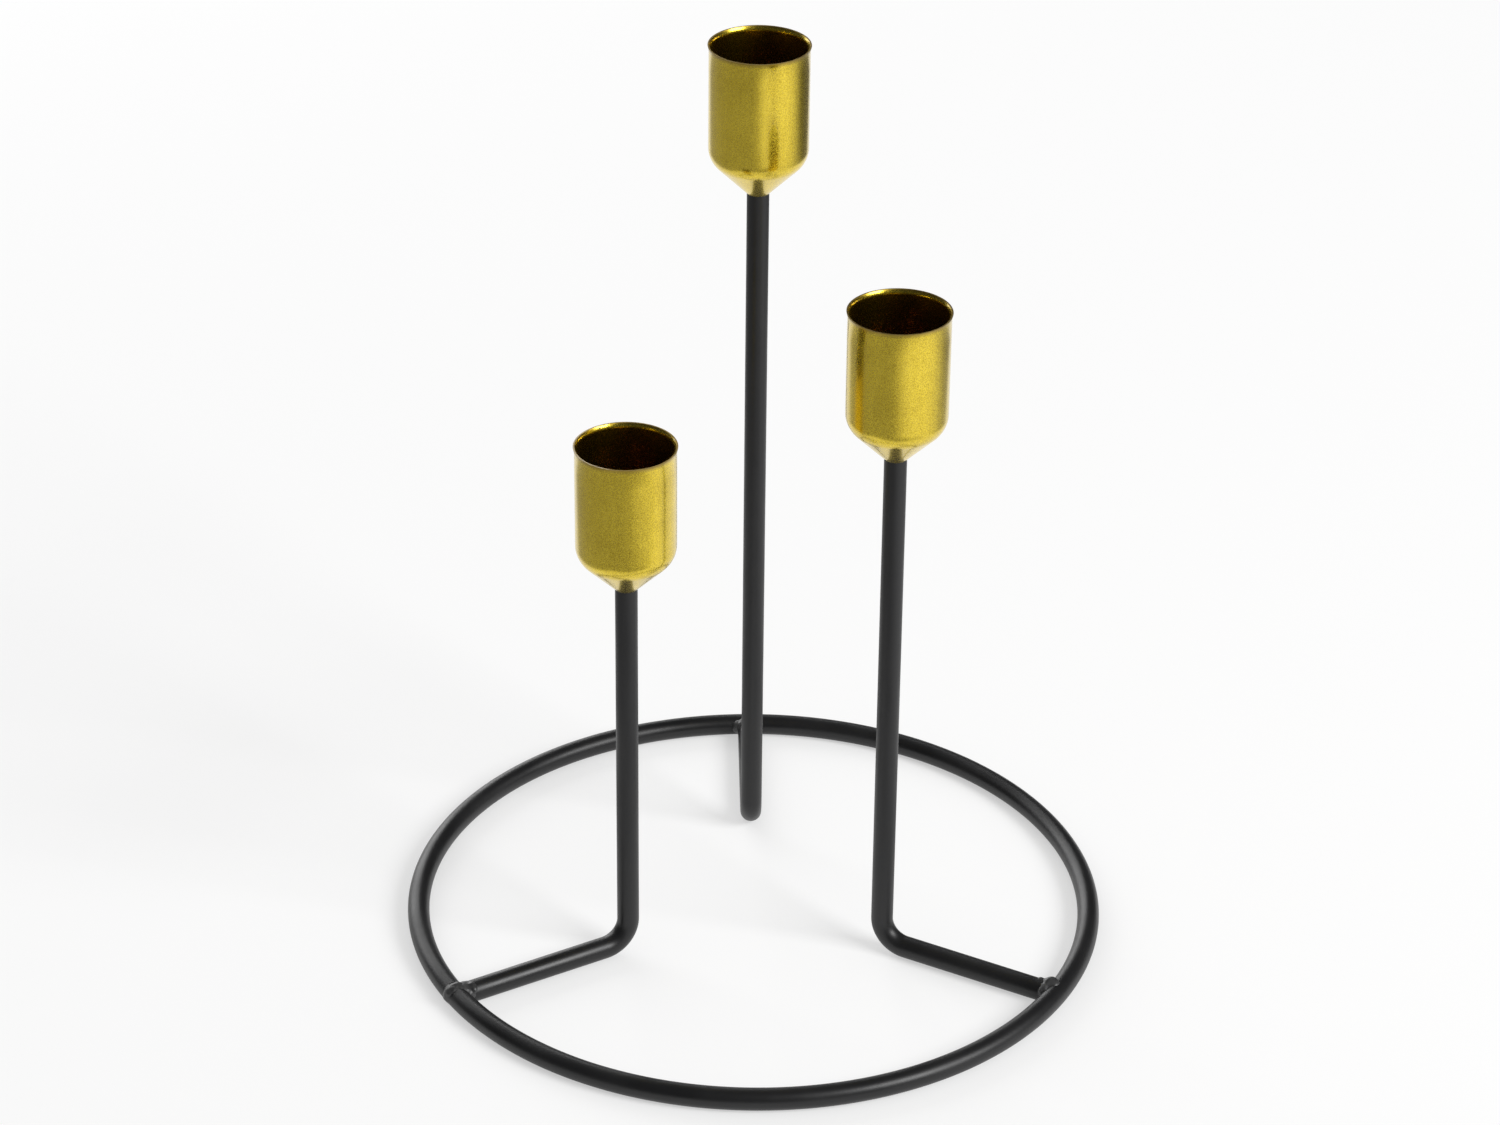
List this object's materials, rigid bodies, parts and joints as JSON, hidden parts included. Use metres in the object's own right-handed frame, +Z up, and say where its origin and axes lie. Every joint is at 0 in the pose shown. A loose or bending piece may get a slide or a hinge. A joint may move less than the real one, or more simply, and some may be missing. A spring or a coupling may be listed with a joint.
{
  "type": "table candle holder",
  "caption": "Free-standing wire candle holder: a black ring base with upright bent stems of different heights, each carrying a gold sheet metal cup for a dinner candle.",
  "frame": {"origin": "centre of the base ring, at the level of the table", "axes": "+Z up along the stems, -Y to the front between the short and the middle stem, +X to the middle stem's side"},
  "size_m": [0.17, 0.17, 0.214],
  "materials": {
    "black_coat": "satin black powder coat on steel wire",
    "gold_lacquer": "gold metallic lacquer, glossy, on thin sheet",
    "zinc_screw": "bright zinc plate"
  },
  "bodies": {
    "root": {"base_ring": "black_coat", "cup_screws": "zinc_screw", "middle_cup": "gold_lacquer", "middle_stem": "black_coat", "middle_weld": "black_coat", "short_cup": "gold_lacquer", "short_stem": "black_coat", "short_weld": "black_coat", "tall_cup": "gold_lacquer", "tall_stem": "black_coat", "tall_weld": "black_coat"}
  },
  "joints": []
}
